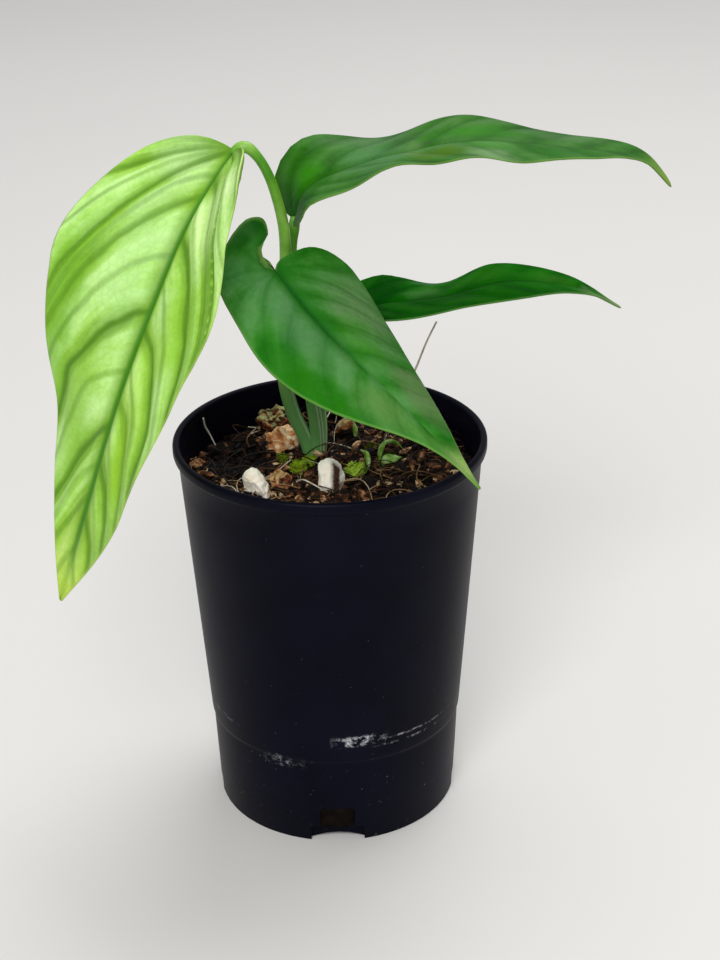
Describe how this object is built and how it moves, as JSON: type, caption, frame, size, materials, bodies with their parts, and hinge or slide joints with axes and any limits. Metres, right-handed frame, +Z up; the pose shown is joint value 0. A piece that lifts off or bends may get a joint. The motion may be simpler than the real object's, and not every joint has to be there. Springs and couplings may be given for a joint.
{
  "type": "potted monstera obliqua",
  "caption": "Young aroid house plant with arching pointed leaves on slender stalks, growing in bark mix in a plain tapered nursery pot.",
  "frame": {"origin": "centre of the pot's flat foot, on the surface it stands on", "axes": "+Z up along the pot's axis; the front of the plant, which faces the viewer in the picture, is -Y, and the long level leaves point towards +X"},
  "size_m": [0.1762, 0.1041, 0.2097],
  "materials": {
    "pot": "thin black moulded plastic, satin",
    "potting_mix": "damp bark and coir",
    "stem": "smooth green plant stem",
    "young_leaf": "thin young leaf, satin",
    "leaf": "grown leaf, satin",
    "pumice": "dry porous pumice",
    "bark": "rough bark",
    "pale_bark": "rough weathered bark",
    "fibre": "dry plant fibre"
  },
  "bodies": {
    "root": {"pot": "pot", "potting_mix": "potting_mix", "stem": "stem", "leaf_a_young": "young_leaf", "leaf_b_upper": "leaf", "leaf_c_front": "leaf", "leaf_d_lower": "leaf", "pumice_left": "pumice", "pumice_front": "pumice", "bark_nugget_back": "pale_bark", "bark_nugget_orange": "bark", "bark_nugget_front": "bark", "bark_chip_pale": "pale_bark", "dry_fibre": "fibre"}
  },
  "joints": []
}
